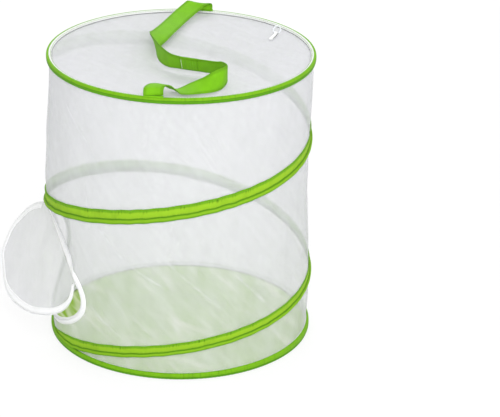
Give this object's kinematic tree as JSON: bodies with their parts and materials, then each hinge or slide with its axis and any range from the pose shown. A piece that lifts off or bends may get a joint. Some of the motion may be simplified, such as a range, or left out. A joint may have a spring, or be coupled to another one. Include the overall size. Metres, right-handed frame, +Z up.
{
  "type": "insect cage",
  "caption": "Pop-up mesh insect cage: a soft drum held open by a wire spiral, with a zipped flap door low on its left and a carrying strap over the top.",
  "frame": {"origin": "the drum's axis at the surface that the cage stands on", "axes": "+Z up along the drum's axis, the front towards -Y, the door on the left towards -X"},
  "size_m": [0.4207, 0.3548, 0.4135],
  "materials": {
    "lime_binding": "woven polyester binding tape, soft sheen, stitched along its edge",
    "lime_strap": "folded polyester strap, soft sheen",
    "lime_floor": "coated polyester cloth, slightly glossy",
    "white_net": "fine knitted mesh, see-through, matt",
    "white_tape": "woven tape, matt, with a line of stitching",
    "zip_coil": "nylon coil, satin",
    "spring_steel": "drawn spring steel wire",
    "zip_metal": "white enamelled die-cast zip parts",
    "clear_plastic": "clear moulded plastic, glossy"
  },
  "bodies": {
    "base": {"bottom_hoop": "spring_steel", "bottom_ferrule": "spring_steel", "bottom_binding": "lime_binding", "floor_panel": "lime_floor", "side_wall": "white_net", "spiral_wire": "spring_steel", "spiral_band": "lime_binding", "rim_tape": "white_tape", "zip_coil_wall": "zip_coil"},
    "door_carrier": {"hinge_tape": "white_tape"},
    "top": {"top_hoop": "spring_steel", "top_ferrule": "spring_steel", "top_binding": "lime_binding", "top_panel": "white_net", "handle_anchor_front": "lime_strap", "handle_anchor_rear": "lime_strap", "handle_strap_front": "lime_strap", "handle_strap_rear": "lime_strap", "hang_ribbon": "white_tape"},
    "door": {"door_flap": "white_net", "flap_hem": "white_tape", "zip_coil_flap": "zip_coil"},
    "zip_carrier": {"zip_stop": "zip_metal"},
    "zip_runner": {"zip_slider": "zip_metal"},
    "pull_tab": {"zip_pull": "zip_metal"},
    "handle": {"handle_seam": "lime_strap"},
    "clear_ring": {"hang_ring": "clear_plastic"}
  },
  "joints": [
    {"name": "collapse", "type": "slide", "parent": "base", "child": "top", "axis": [0, 0, 1], "range_m": [-0.345, 0], "stiffness_N_per_m": 12, "springref_m": 0.25, "deforming": ["side_wall", "spiral_band", "spiral_wire", "rim_tape", "zip_coil_wall", "hinge_tape", "door_flap", "flap_hem", "zip_coil_flap"]},
    {"name": "door_drop", "type": "slide", "parent": "base", "child": "door_carrier", "axis": [0, 0, 1], "range_m": [-0.13, 0]},
    {"name": "door_swing", "type": "hinge", "parent": "door_carrier", "child": "door", "pos_m": [-0.15754, -0.04899, 0.14053], "axis": [0.2932, -0.8491, -0.4395], "range_deg": [-85, 30]},
    {"name": "zip_drop", "type": "slide", "parent": "base", "child": "zip_carrier", "axis": [0, 0, 1], "range_m": [-0.155, 0]},
    {"name": "zip_slide", "type": "slide", "parent": "zip_carrier", "child": "zip_runner", "axis": [0.1036, 0.9644, -0.2433], "range_m": [0, 0.012]},
    {"name": "pull_swing", "type": "hinge", "parent": "zip_runner", "child": "pull_tab", "pos_m": [-0.18204, 0.02084, 0.16946], "axis": [0.0283, 0.2417, 0.9699], "range_deg": [0, 165]},
    {"name": "handle_lift", "type": "slide", "parent": "top", "child": "handle", "axis": [0, 0, 1], "range_m": [0, 0.13], "deforming": ["handle_strap_front", "handle_strap_rear"]},
    {"name": "ring_flip", "type": "hinge", "parent": "top", "child": "clear_ring", "pos_m": [0.12582, 0.07752, 0.38719], "axis": [0.9265, -0.3763, 0], "range_deg": [-50, 105]}
  ],
  "couplings": [
    {"joint": "zip_drop", "follows": "collapse", "ratio": 0.43},
    {"joint": "door_drop", "follows": "collapse", "ratio": 0.357}
  ]
}
